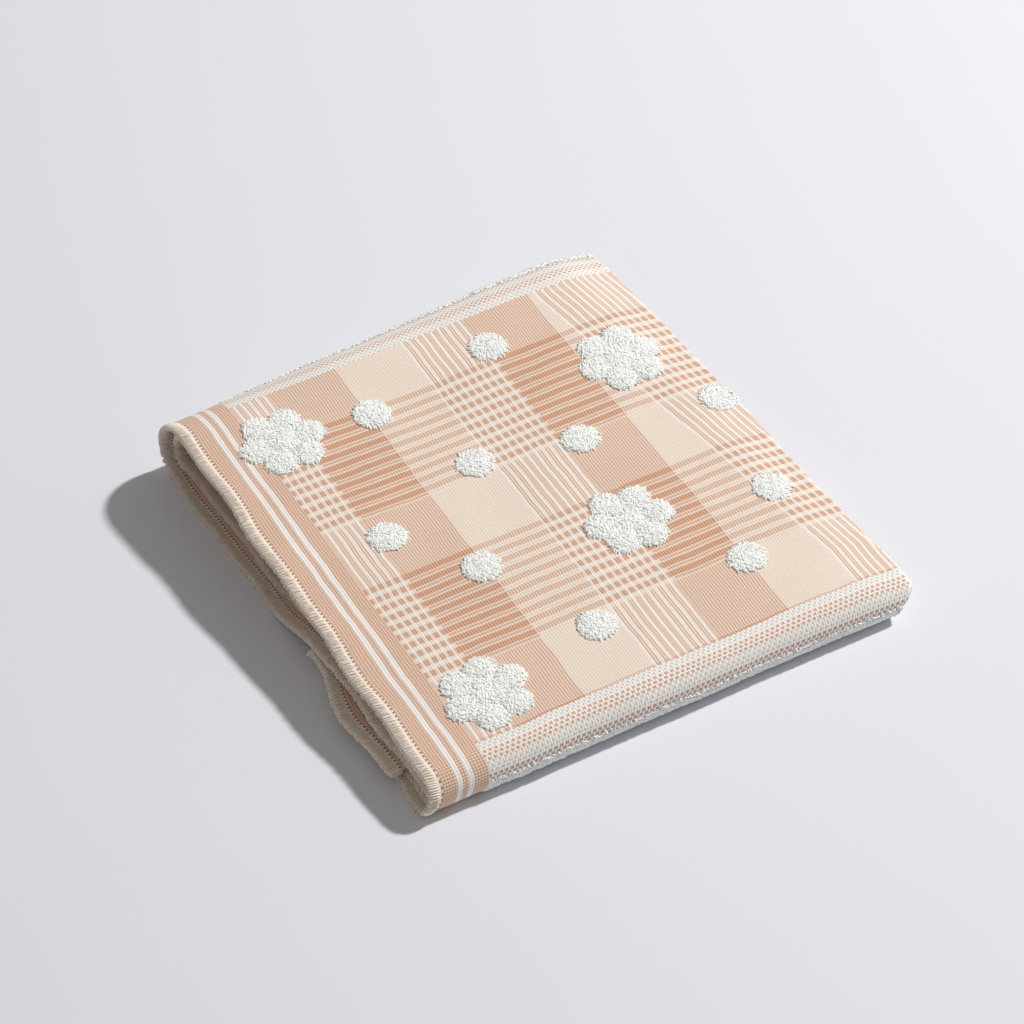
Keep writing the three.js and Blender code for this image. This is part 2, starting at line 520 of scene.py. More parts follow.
def mesh_piece(name: str, points: np.ndarray, faces: list[list[int]],
               material: bpy.types.Material | None) -> bpy.types.Object:
    """Make a smooth mesh object from points in millimetres.

    Args:
        name: the object's name.
        points: one row of x, y and z for each vertex.
        faces: vertex numbers of each face.
        material: the finish, or None.

    Returns:
        The object, at the origin.
    """
    mesh = bpy.data.meshes.new(name)
    mesh.from_pydata((np.asarray(points) * MM).tolist(), [], faces)
    mesh.shade_smooth()
    if material is not None:
        mesh.materials.append(material)
    piece = bpy.data.objects.new(name, mesh)
    bpy.context.scene.collection.objects.link(piece)
    return piece


@dataclass(frozen=True)
class WovenCheck:
    """Yarn-dyed cotton check: fine orange and cream threads, which the eye mixes to tan squares.

    The weave is matt and a little ribbed. Threads of 0.96 mm pitch are the pairs of yarns that
    still show; single yarns are half of that. Sizes are in millimetres on the real cloth, with u
    from the upper hem and v along it. Columns run along the cloth (striped, solid, pale) and rows
    across it (ribbed, plain), and a border ends each panel of them.
    """

    orange: str = "#CF9068"
    brown: str = "#A06A48"
    cream: str = "#F8EEE2"
    white: str = "#F8F7F4"
    grey: str = "#BDB2A8"
    roughness: float = 0.93
    sheen: float = 0.12
    bump: float = 0.55
    relief_mm: float = 0.3
    cloth_width: float = 340.0
    hem_width: float = 19.7
    thread: float = 0.96
    weft_pitch: float = 0.8
    stitch_pitch: float = 1.6
    wander: float = 1.3
    column_from: float = 10.1
    column_width: float = 24.0
    column_repeat: float = 72.0
    last_column_from: float = 130.1
    last_column_to: float = 175.0
    ribbed_depth: float = 43.8
    row_repeat: float = 70.6
    rib: float = 4.38
    stripe: float = 2.7
    panel_from: float = -88.8
    panel_repeat: float = 210.5
    border_front: float = 98.1
    border_back: float = -65.2
    pick_pitch: float = 1.05
    speck_pitch: float = 1.9
    speck_shift: float = 0.8

    # Spot size in millimetres, detail and seed of each noise.
    NOISES: ClassVar[dict[str, tuple[float, float, float]]] = {
        "wander_u": (14, 1, 1.5),
        "wander_v": (16, 1, 7.5),
        "yarn": (1.1, 3, 3.5),
        "broad": (22, 2, 5.5),
    }

    def sums(self, sheet: Formulas) -> None:
        """Work out the pattern, from the place on the cloth to shares of each colour.

        Args:
            sheet: the sums, which know this finish's sizes and noises by name.
        """
        # Where a place lies in the check: its panel, row and column, and its share h of a rib and p
        # of a stripe. The last column before the long fold is striped from a line that slants.
        sheet.let(
            u="across + (wander_u - 0.5) * wander",
            v="along + (wander_v - 0.5) * wander",
            edge="low(u, cloth_width - u)",
            panel="fract((v - panel_from) / panel_repeat) * panel_repeat + panel_from",
            row="fract((panel + ribbed_depth) / row_repeat) * row_repeat",
            ribbed="row < ribbed_depth",
            h="fract(row / rib)",
            column="fract((u - column_from) / column_repeat) * column_repeat",
            near_fold="(u > last_column_from) * (u < last_column_to)",
            start="last_column_from + low(high(11.5 + 0.15 * v, 2), column_width)",
            turned="near_fold * (u > start)",
            striped="high(column < column_width, turned)",
            solid="(column > column_width) * (column < 2 * column_width)",
            into_stripes="column + turned * (u - start - column)",
            p="fract(into_stripes / stripe)",
            line="fract(u / thread) < 0.5",
            weft="fract(v / weft_pitch) < 0.5",
        )
        # How much orange each kind of square shows, and how far the stripes' gaps are bleached.
        sheet.let(
            pale_plain="0.01 + 0.2 * line",
            solid_plain="0.72 - 0.42 * line - 0.2 * weft * (1 - line)",
            pairs="(p > 0.4) * (p < 0.64) + (p > 0.76) * (p < 0.98)",
            striped_plain="(p > 0.4) * (0.16 + 0.36 * pairs)",
            dashes="0.12 + 0.6 * (fract(u / thread) < 0.55)",
            thin="(h > 0.74) * (h < 0.8)",
            pale_ribbed="(h < 0.52) * dashes + (h > 0.52) * (0.08 + 0.27 * thin)",
            cords="(h > 0.64) * (h < 0.84)",
            solid_ribbed="(h < 0.52) * (0.9 - 0.2 * line) + (h > 0.52) * (0.22 + 0.42 * cords)",
            square="(p > 0.38) * (h < 0.52)",
            crossed="0.2 * (p > 0.38) * (h > 0.52) * (1 - 0.6 * cords) + 0.2 * (p < 0.38) * (h < 0.52)",
            striped_ribbed="(0.82 - 0.16 * weft) * square + crossed",
            ground="striped * striped_ribbed + solid * solid_ribbed"
            " + (1 - high(striped, solid)) * pale_ribbed",
            plain="striped * striped_plain + solid * solid_plain"
            " + (1 - high(striped, solid)) * pale_plain",
            body="ribbed * ground + (1 - ribbed) * plain",
            bleached="striped * (p < 0.38) * 0.7",
        )
        # The hem with its two white stripes and its stitching, and the border in rows of picks.
        sheet.let(
            hem="edge < hem_width",
            hem_check="0.74 - 0.42 * line * weft - 0.14 * weft",
            hem_white="(edge > 9.4) * (edge < 11.2) + (edge > 13.1) * (edge < 14.9)",
            hem_tint="(edge > 4.3) * (1 - hem_white) * hem_check",
            stitches="(edge > 3.7) * (edge < 4.4) * (fract(v / stitch_pitch) < 0.5)",
            picks="high(panel - border_front, border_back - panel) / pick_pitch",
            border="(picks > 0) * (1 - hem)",
            pick="fract(picks)",
            stagger="fract((u + speck_shift * floor(picks)) / speck_pitch)",
            speck="(pick > 0.18) * (pick < 0.86) * (stagger < 0.58)",
            slants="(picks > 3) * (picks < 6) * speck",
            greys="((picks < 3) + (picks > 6) * (picks < 9)) * (pick < 0.6) * (stagger < 0.4) * 0.6",
            bold="(picks > 9) * (picks < 12) * speck",
        )
        # Shares of each colour over the cream ground, then the relief, and a tone that mixes random
        # unevenness of the yarn with painted shade in the grooves between the threads.
        sheet.let(
            tint="hem * hem_tint + (1 - hem) * (1 - border) * body + border * (slants * 0.72 + bold * 0.8)",
            dark="0.85 * stitches + border * bold * 0.3",
            whiten="hem * hem_white + border * (1 - slants) + (1 - hem) * (1 - border) * bleached",
            greyed="border * greys",
            rib_u="0.5 + 0.5 * sine(u * turn / thread)",
            rib_v="0.5 + 0.5 * sine(v * turn / weft_pitch)",
            waffle="(1 - border) * (1 - hem) * ribbed * (h < 0.52)",
            relief="0.3 * rib_u + 0.25 * rib_v + 0.3 * waffle * high(line, striped)"
            " + 0.25 * hem * hem_white",
            # The rib terms darken the colour in the grooves between the threads as painted shade; yarn and
            # broad give random tone.
            shade="0.97 + 0.17 * yarn + 0.08 * (broad - 0.5) - 0.11 * (1 - rib_u) - 0.09 * (1 - rib_v)",
        )

    def material(self) -> bpy.types.Material:
        """Build the material from the cloth's UV map.

        Returns:
            The material.
        """
        material = bpy.data.materials.new("woven cotton check")
        material.use_nodes = True
        tree = material.node_tree
        shader = tree.nodes["Principled BSDF"]
        place = add_node(tree, "ShaderNodeUVMap", uv_map=UV_NAME).outputs["UV"]
        scaled = add_node(tree, "ShaderNodeVectorMath", {0: place, "Scale": 1 / MM}, operation="SCALE")
        parts = add_node(tree, "ShaderNodeSeparateXYZ", {0: scaled.outputs[0]})
        values = {size.name: getattr(self, size.name) for size in fields(self) if size.type is float}
        values |= {"turn": math.tau, "across": parts.outputs[0], "along": parts.outputs[1]}
        for name, (spot_mm, detail, seed) in self.NOISES.items():
            links = {"Vector": scaled.outputs[0], "Scale": 1 / spot_mm, "Detail": detail, "W": seed}
            spots = add_node(tree, "ShaderNodeTexNoise", links, noise_dimensions="4D")
            values[name] = spots.outputs["Fac"]
        sheet = Formulas(tree, values)
        self.sums(sheet)
        colour = linear(self.cream)
        layers = {"whiten": self.white, "tint": self.orange, "greyed": self.grey, "dark": self.brown}
        for share, laid_over in layers.items():
            links = {"Factor": sheet.values[share], 6: colour, 7: linear(laid_over)}
            colour = add_node(tree, "ShaderNodeMix", links, data_type="RGBA").outputs[2]
        # Scale the colour by the random yarn tone and by the painted shade between the threads.
        shaded = {0: colour, "Scale": sheet.values["shade"]}
        colour = add_node(tree, "ShaderNodeVectorMath", shaded, operation="SCALE").outputs[0]
        height = {"Height": sheet.values["relief"], "Strength": self.bump, "Distance": self.relief_mm * MM}
        bump = add_node(tree, "ShaderNodeBump", height)
        tree.links.new(colour, shader.inputs["Base Color"])
        tree.links.new(bump.outputs["Normal"], shader.inputs["Normal"])
        shader.inputs["Roughness"].default_value = self.roughness
        shader.inputs["Sheen Weight"].default_value = self.sheen
        return material


@dataclass(frozen=True)
class CottonYarn:
    """Undyed or bleached cotton yarn, soft and matt, a little uneven along its length."""

    name: str
    light: str
    dull: str
    spot_mm: float = 1.6
    roughness: float = 0.9
    sheen: float = 0.25
    fuzz_finer: float = 4.0
    fuzz: float = 0.4
    fuzz_mm: float = 0.1

    def material(self) -> bpy.types.Material:
        """Build the material from the place on the object.

        Returns:
            The material.
        """
        material = bpy.data.materials.new(self.name)
        material.use_nodes = True
        tree = material.node_tree
        shader = tree.nodes["Principled BSDF"]
        place = add_node(tree, "ShaderNodeTexCoord").outputs["Object"]
        spots = {"Vector": place, "Scale": 1 / (self.spot_mm * MM), "Detail": 3.0}
        share = add_node(tree, "ShaderNodeTexNoise", spots).outputs["Fac"]
        links = {"Factor": share, 6: linear(self.dull), 7: linear(self.light)}
        colour = add_node(tree, "ShaderNodeMix", links, data_type="RGBA").outputs[2]
        fibres = {"Vector": place, "Scale": self.fuzz_finer / (self.spot_mm * MM), "Detail": 2.0}
        height = add_node(tree, "ShaderNodeTexNoise", fibres).outputs["Fac"]
        links = {"Height": height, "Strength": self.fuzz, "Distance": self.fuzz_mm * MM}
        bump = add_node(tree, "ShaderNodeBump", links)
        tree.links.new(colour, shader.inputs["Base Color"])
        tree.links.new(bump.outputs["Normal"], shader.inputs["Normal"])
        shader.inputs["Roughness"].default_value = self.roughness
        shader.inputs["Sheen Weight"].default_value = self.sheen
        return material


@dataclass
class Cloth:
    """The woven cloth itself: one thin closed sheet that follows all folds."""

    packet: Packet
    upper_columns: int = 74
    lower_columns: int = 40
    turn_steps: int = 8
    rim_steps: int = 4

    def across(self) -> np.ndarray:
        """Work out places across the real cloth.

        Returns:
            The places from rim to rim, with a row for each station.
        """
        packet = self.packet
        distance = packet.stations[:, None]
        rim = packet.sheet / 2
        turn_from = packet.read(distance, "reach") - packet.half - packet.read(distance, "hem")
        turn = math.pi * packet.middle
        upper = np.linspace(0, 1, self.upper_columns)[None, :]
        around = np.arange(1, self.turn_steps)[None, :] / self.turn_steps
        lower = np.linspace(0, 1, self.lower_columns)[None, :]
        rest = packet.cloth_width - rim - turn_from - turn
        return np.concatenate([
            rim + (turn_from - rim) * upper,
            turn_from + turn * around,
            turn_from + turn + rest * lower,
        ], 1)

    def ring(self) -> tuple[np.ndarray, np.ndarray]:
        """Go round the whole sheet: outer face, lower rim, inner face and upper rim.

        Returns:
            Places across the real cloth and heights over its face, with a row for each station.
        """
        packet = self.packet
        outer = self.across()
        rim = packet.sheet / 2
        angle = math.pi * np.arange(1, self.rim_steps) / self.rim_steps
        whole = np.ones((len(outer), 1))
        bulge = rim - rim * np.sin(angle)
        u = np.concatenate([
            outer,
            whole * (packet.cloth_width - bulge),
            outer[:, ::-1],
            whole * bulge,
        ], 1)
        height = np.concatenate([
            np.zeros_like(outer),
            whole * (rim * np.cos(angle) - rim),
            np.full_like(outer, -packet.sheet),
            whole * (-rim * np.cos(angle) - rim),
        ], 1)
        return u, height

    def faces(self, rows: int, around: int) -> list[list[int]]:
        """Faces of the sheet's skin and of its two cut ends.

        Args:
            rows: number of stations.
            around: number of points round the sheet.

        Returns:
            The vertex numbers of each face, outward.
        """
        number = np.arange(rows * around).reshape(rows, around)
        ahead = np.roll(number, -1, 1)
        skin = np.stack([number[:-1], number[1:], ahead[1:], ahead[:-1]], -1).reshape(-1, 4)
        span = self.upper_columns + self.turn_steps - 1 + self.lower_columns
        edge = self.rim_steps - 1
        caps = []
        for row, flip in ((number[0], 1), (number[-1], -1)):
            outer = row[:span]
            inner = row[span + edge : 2 * span + edge][::-1]
            cap = [[outer[i], outer[i + 1], inner[i + 1], inner[i]] for i in range(span - 1)]
            cap.append([outer[-1], *row[span : span + edge], inner[-1]])
            cap.append([inner[0], *row[2 * span + edge :], outer[0]])
            caps += [[int(n) for n in face[::flip]] for face in cap]
        return skin.tolist() + caps

    def build(self, material: bpy.types.Material) -> bpy.types.Object:
        """Build the cloth.

        Args:
            material: the weave.

        Returns:
            The finished piece, with its place in the real cloth as its UV map.
        """
        packet = self.packet
        u, height = self.ring()
        distance = np.repeat(packet.stations[:, None], u.shape[1], 1)
        x, offset = packet.lay(distance, u, height)
        points = packet.place(distance, x, offset).reshape(-1, 3)
        piece = mesh_piece("towel_cloth", points, self.faces(*u.shape), material)
        layer = piece.data.uv_layers.new(name=UV_NAME)
        corner = np.empty(len(piece.data.loops), dtype=np.int32)
        piece.data.loops.foreach_get("vertex_index", corner)
        woven = np.stack([u, packet.woven_v(distance, x)], -1).reshape(-1, 2) * MM
        layer.data.foreach_set("uv", woven[corner].reshape(-1).astype(np.float32))
        return piece


@dataclass
class YarnLayer:
    """Small yarn pieces that stand on the cloth, each placed on a point by a node tree.

    A loop's feet reach foot of its height into the cloth, and its path is pulled up to pull of it.
    """

    name: str
    spread: Spread
    yarn_mm: float
    length_mm: float
    height_mm: float
    foot: float = 0.2
    pull: float = 1.4
    loop_steps: int = 4
    ring_steps: int = 10
    sides: int = 4

    def shape(self, tree: bpy.types.NodeTree, yarn: bpy.types.NodeSocket) -> bpy.types.NodeSocket:
        """Make one loop or ring of yarn.

        Args:
            tree: the tree that the nodes go into.
            yarn: the yarn's radius.

        Returns:
            The socket that holds its mesh.
        """
        length, height = self.length_mm * MM, self.height_mm * MM
        if self.spread is Spread.LOOPS:
            ends = {
                "Resolution": self.loop_steps,
                "Start": (-length / 2, 0, -height * self.foot),
                "Start Handle": (-length / 2, 0, height * self.pull),
                "End Handle": (length / 2, 0, height * self.pull),
                "End": (length / 2, 0, -height * self.foot),
            }
            path = add_node(tree, "GeometryNodeCurvePrimitiveBezierSegment", ends).outputs[0]
        else:
            round_path = {"Resolution": self.ring_steps, "Radius": 1.0}
            circle = add_node(tree, "GeometryNodeCurvePrimitiveCircle", round_path)
            links = {
                "Geometry": circle.outputs["Curve"],
                "Rotation": (math.pi / 2, 0, 0),
                "Scale": (length / 2, height / 2, 1.0),
            }
            path = add_node(tree, "GeometryNodeTransform", links).outputs[0]
        around = {"Resolution": self.sides, "Radius": yarn}
        section = add_node(tree, "GeometryNodeCurvePrimitiveCircle", around)
        tube = {"Curve": path, "Profile Curve": section.outputs["Curve"], "Fill Caps": True}
        return add_node(tree, "GeometryNodeCurveToMesh", tube).outputs[0]

    def tree(self, material: bpy.types.Material) -> bpy.types.NodeTree:
        """Build the tree that stands a piece of yarn on every point.

        Args:
            material: the yarn's finish.

        Returns:
            The node tree, with the yarn radius as its named input.
        """
        tree = bpy.data.node_groups.new(self.name, "GeometryNodeTree")
        tree.interface.new_socket("Geometry", in_out="INPUT", socket_type="NodeSocketGeometry")
        tree.interface.new_socket("Yarn radius", in_out="INPUT", socket_type="NodeSocketFloat")
        tree.interface.new_socket("Geometry", in_out="OUTPUT", socket_type="NodeSocketGeometry")
        source = add_node(tree, "NodeGroupInput")
        read = {}
        for name, kind in (("out", "FLOAT_VECTOR"), ("along", "FLOAT_VECTOR"), ("bulk", "FLOAT")):
            node = add_node(tree, "GeometryNodeInputNamedAttribute", {0: name}, data_type=kind)
            read[name] = node.outputs[0]
        stood = add_node(tree, "FunctionNodeAlignRotationToVector", {"Vector": read["out"]}, axis="Z")
        sideways = {"Rotation": stood.outputs[0], "Vector": read["along"]}
        turned = add_node(tree, "FunctionNodeAlignRotationToVector", sideways, axis="X", pivot_axis="Z")
        points = add_node(tree, "GeometryNodeMeshToPoints", {"Mesh": source.outputs["Geometry"]})
        spread = {
            "Points": points.outputs[0],
            "Instance": self.shape(tree, source.outputs["Yarn radius"]),
            "Rotation": turned.outputs[0],
            "Scale": read["bulk"],
        }
        instances = add_node(tree, "GeometryNodeInstanceOnPoints", spread)
        real = add_node(tree, "GeometryNodeRealizeInstances", {"Geometry": instances.outputs[0]})
        smooth = add_node(tree, "GeometryNodeSetShadeSmooth", {"Geometry": real.outputs[0]})
        dressed = {"Geometry": smooth.outputs[0], "Material": material}
        result = add_node(tree, "GeometryNodeSetMaterial", dressed)
        add_node(tree, "NodeGroupOutput", {0: result.outputs[0]})
        return tree

    def press(self, mesh: bpy.types.Mesh) -> None:
        """Press flat what would reach into the surface that the towel lies on.

        Args:
            mesh: the yarn, in metres.
        """
        place = np.empty(3 * len(mesh.vertices), dtype=np.float32)
        mesh.vertices.foreach_get("co", place)
        place[2::3] = np.maximum(place[2::3], 0)
        mesh.vertices.foreach_set("co", place)

    def build(self, points: np.ndarray, out: np.ndarray, along: np.ndarray, bulk: np.ndarray,
              material: bpy.types.Material) -> bpy.types.Object:
        """Stand the yarn pieces on their points, and make the result a plain mesh.

        Args:
            points: where each one stands, in millimetres.
            out: the direction away from the cloth there.
            along: the direction in which it lies.
            bulk: its size against the usual one.
            material: the yarn's finish.

        Returns:
            The finished piece.
        """
        carrier = mesh_piece(f"{self.name}_points", points, [], None)
        for name, values in (("out", out), ("along", along)):
            layer = carrier.data.attributes.new(name, "FLOAT_VECTOR", "POINT")
            layer.data.foreach_set("vector", np.asarray(values, dtype=np.float32).reshape(-1))
        layer = carrier.data.attributes.new("bulk", "FLOAT", "POINT")
        layer.data.foreach_set("value", np.asarray(bulk, dtype=np.float32))
        tree = self.tree(material)
        modifier = carrier.modifiers.new("yarn", "NODES")
        modifier.node_group = tree
        radius = next(s for s in tree.interface.items_tree if s.name == "Yarn radius")
        modifier[radius.identifier] = self.yarn_mm * MM
        depsgraph = bpy.context.evaluated_depsgraph_get()
        mesh = bpy.data.meshes.new_from_object(carrier.evaluated_get(depsgraph))
        mesh.name = self.name
        self.press(mesh)
        bpy.data.objects.remove(carrier)
        piece = bpy.data.objects.new(self.name, mesh)
        bpy.context.scene.collection.objects.link(piece)
        return piece


@dataclass(frozen=True)
class Motif:
    """A terry figure on the top, by its place on the real cloth in millimetres."""

    figure: Figure
    u: float
    v: float
    turn: float = 0.0


@dataclass(frozen=True)
class PileBand:
    """A band of terry pile across the cloth, by its stretch of the real cloth in millimetres."""

    name: str
    v_from: float
    v_to: float
    seed: int


@dataclass
class Terry:
    """White terry: raised figures on the check, and the pile bands of the borders.

    Sizes are in millimetres. Round tufts stand on closed pads, pad_height high, whose undersides
    go pad_root of that into the cloth. Loops lie sunk into a pad or, in a band, into the cloth.
    Those lower than pressed_under would be pressed flat under the packet, so none is made there.
    """

    packet: Packet
    material: bpy.types.Material
    petals: int = 6
    petal_at: float = 9.4
    petal_radius: float = 5.3
    heart_radius: float = 6.2
    dot_radius: float = 6.3
    pad_height: float = 0.9
    pad_root: float = 0.4
    pad_segments: int = 18
    pad_rings: int = 8
    yarn: float = 0.33
    loop_length: float = 1.9
    loop_height: float = 0.3
    bulk: tuple[float, float] = (0.78, 1.2)
    tilt: float = 0.16
    scatter: float = 0.22
    sunk: float = 0.27
    pitch: float = 0.88
    figures_low: tuple[float, float] = (8.0, -64.0)
    figures_high: tuple[float, float] = (172.0, 102.0)
    figures_seed: int = 11
    band_pitch: float = 0.9
    band_height: float = -0.15
    band_from: float = 20.0
    band_to: float = 178.0
    pressed_under: float = 0.5

    BANDS: ClassVar[list] = [
        PileBand("towel_pile_front", 110.4, 133.2, 21),
        PileBand("towel_pile_back", -100.2, -77.4, 22),
    ]
    MOTIFS: ClassVar[list] = [
        Motif(Figure.FLOWER, 27.7, -43.0, 0.0),
        Motif(Figure.FLOWER, 141.5, -24.4, -5.0),
        Motif(Figure.FLOWER, 106.5, 40.8, 10.0),
        Motif(Figure.FLOWER, 32.4, 82.4, -12.0),
        Motif(Figure.DOT, 58.8, -41.1),
        Motif(Figure.DOT, 106.3, -49.7),
        Motif(Figure.DOT, 77.2, -5.9),
        Motif(Figure.DOT, 111.5, 2.0),
        Motif(Figure.DOT, 37.2, 10.3),
        Motif(Figure.DOT, 56.5, 35.9),
        Motif(Figure.DOT, 75.2, 74.7),
        Motif(Figure.DOT, 160.4, 6.0),
        Motif(Figure.DOT, 153.4, 50.2),
        Motif(Figure.DOT, 130.1, 72.9),
    ]

    def discs(self) -> list[tuple[float, float, float]]:
        """List every round tuft: dots, flower hearts and petals.

        Returns:
            The place and radius of each.
        """
        found = []
        for motif in self.MOTIFS:
            if motif.figure is Figure.DOT:
                found.append((motif.u, motif.v, self.dot_radius))
                continue
            found.append((motif.u, motif.v, self.heart_radius))
            for i in range(self.petals):
                angle = math.radians(motif.turn + 360 * i / self.petals)
                u = motif.u + self.petal_at * math.cos(angle)
                v = motif.v + self.petal_at * math.sin(angle)
                found.append((u, v, self.petal_radius))
        return found

    def grid(self, low: tuple[float, float], high: tuple[float, float], pitch: float,
             random: np.random.Generator) -> tuple[np.ndarray, np.ndarray]:
        """Scatter places evenly over a rectangle of the real cloth.

        Args:
            low: its lowest u and v.
            high: its highest u and v.
            pitch: distance between neighbours.
            random: source of the scatter.

        Returns:
            Places across and along the real cloth.
        """
        rise = pitch * math.sqrt(3) / 2
        rows = np.arange(low[1], high[1], rise)
        columns = np.arange(low[0], high[0], pitch)
        u, v = np.meshgrid(columns, rows)
        u[1::2] += pitch / 2
        u += random.normal(0, pitch * self.scatter, u.shape)
        v += random.normal(0, pitch * self.scatter, v.shape)
        return u.reshape(-1), v.reshape(-1)

    def tufts(self, name: str, u: np.ndarray, v: np.ndarray, height: np.ndarray,
              random: np.random.Generator) -> bpy.types.Object:
        """Stand a loop on every place.

        Args:
            name: the piece's name.
            u: places across the real cloth.
            v: places along it.
            height: heights over its face.
            random: source of the way each loop lies.

        Returns:
            The loops as one piece.
        """
        packet = self.packet
        distance = packet.find(u, v)
        points = packet.surface(distance, u, height)
        out = packet.surface(distance, u, height + 1) - points
        out += random.normal(0, self.tilt, out.shape)
        out /= np.linalg.norm(out, axis=-1, keepdims=True)
        along = random.normal(0, 1, out.shape)
        bulk = random.uniform(*self.bulk, len(u))
        clear = points[:, 2] > self.pressed_under
        layer = YarnLayer(name, Spread.LOOPS, self.yarn, self.loop_length, self.loop_height)
        return layer.build(points[clear], out[clear], along[clear], bulk[clear], self.material)

    def pads(self) -> bpy.types.Object:
        """Make round closed pads under the figures, which hide the check between their loops.

        Returns:
            The pads as one piece.
        """
        packet = self.packet
        segments, rings = self.pad_segments, self.pad_rings
        polar = math.pi * np.arange(1, rings) / rings
        azimuth = 2 * math.pi * np.arange(segments) / segments
        points, faces = [], []
        for disc_u, disc_v, radius in self.discs():
            spread = np.sin(polar)[:, None]
            u = disc_u + radius * spread * np.cos(azimuth)[None, :]
            v = disc_v + radius * spread * np.sin(azimuth)[None, :]
            height = self.pad_height * np.cos(polar)[:, None] * np.ones_like(u)
            height = np.where(height > 0, height, height * self.pad_root)
            u = np.concatenate([[disc_u], u.reshape(-1), [disc_u]])
            v = np.concatenate([[disc_v], v.reshape(-1), [disc_v]])
            poles = self.pad_height, -self.pad_height * self.pad_root
            height = np.concatenate([poles[:1], height.reshape(-1), poles[1:]])
            base = sum(len(p) for p in points)
            points.append(packet.surface(packet.find(u, v), u, height))
            last = base + 1 + (rings - 1) * segments
            for s in range(segments):
                after = (s + 1) % segments
                faces.append([base, base + 1 + after, base + 1 + s])
                for r in range(rings - 2):
                    here = base + 1 + r * segments
                    faces.append([here + s, here + after, here + segments + after, here + segments + s])
                end = last - segments
                faces.append([end + s, end + after, last])
        return mesh_piece("towel_tuft_pads", np.concatenate(points), faces, self.material)

    def figures(self) -> bpy.types.Object:
        """Stand loops on the flowers and dots.

        Returns:
            The loops as one piece.
        """
        random = np.random.default_rng(self.figures_seed)
        u, v = self.grid(self.figures_low, self.figures_high, self.pitch, random)
        height = np.full_like(u, -1.0)
        for disc_u, disc_v, radius in self.discs():
            away = np.hypot(u - disc_u, v - disc_v) / radius
            dome = self.pad_height * np.sqrt(np.clip(1 - away**2, 0, 1))
            height = np.where(away < 1, np.maximum(height, dome), height)
        inside = height >= 0
        return self.tufts("towel_flowers", u[inside], v[inside], height[inside] - self.sunk, random)

    def band(self, band: PileBand) -> bpy.types.Object:
        """Stand the loops of one pile band, over the upper sheet and round the long fold.

        Args:
            band: its stretch of the cloth, its name and its seed.

        Returns:
            The band.
        """
        random = np.random.default_rng(band.seed)
        low, high = (self.band_from, band.v_from), (self.band_to, band.v_to)
        u, v = self.grid(low, high, self.band_pitch, random)
        return self.tufts(band.name, u, v, np.full_like(u, self.band_height), random)


@dataclass
class Overlock:
    """The overlock seam round a long edge: turns of cream yarn that wrap the hem.

    Sizes are in millimetres. Its turns stand past the cloth's edge by overhang, lean forward by
    slant of their width, and differ a little in place, lean and size.
    """

    packet: Packet
    material: bpy.types.Material
    pitch: float = 0.64
    width: float = 4.0
    thickness: float = 1.7
    yarn: float = 0.27
    overhang: float = 0.3
    scatter: float = 0.12
    wander: float = 0.1
    slant: float = 0.12
    slant_scatter: float = 0.06
    bulk: tuple[float, float] = (0.95, 1.05)

    def build(self, name: str, upper: bool, seed: int) -> bpy.types.Object:
        """Wrap one hem.

        Args:
            name: the piece's name.
            upper: whether it is the hem of the upper sheet.
            seed: seed of the small unevenness.

        Returns:
            The seam.
        """
        packet = self.packet
        random = np.random.default_rng(seed)
        steps = int(packet.length / self.pitch)
        distance = (np.arange(steps) + 0.5) * packet.length / steps
        distance += random.normal(0, self.pitch * self.scatter, steps)
        from_edge = self.width / 2 - self.overhang + random.normal(0, self.wander, steps)
        u = from_edge if upper else packet.cloth_width - from_edge
        middle = np.full(steps, -packet.sheet / 2)
        points = packet.surface(distance, u, middle)
        out = packet.surface(distance, u, middle + 1) - points
        out /= np.linalg.norm(out, axis=-1, keepdims=True)
        inward = packet.surface(distance, u + (1 if upper else -1), middle) - points
        ahead = packet.surface(distance + 1, u, middle) - points
        along = inward + ahead * random.normal(self.slant, self.slant_scatter, steps)[:, None]
        bulk = random.uniform(*self.bulk, steps)
        layer = YarnLayer(name, Spread.RINGS, self.yarn, self.width, self.thickness)
        return layer.build(points, out, along, bulk, self.material)


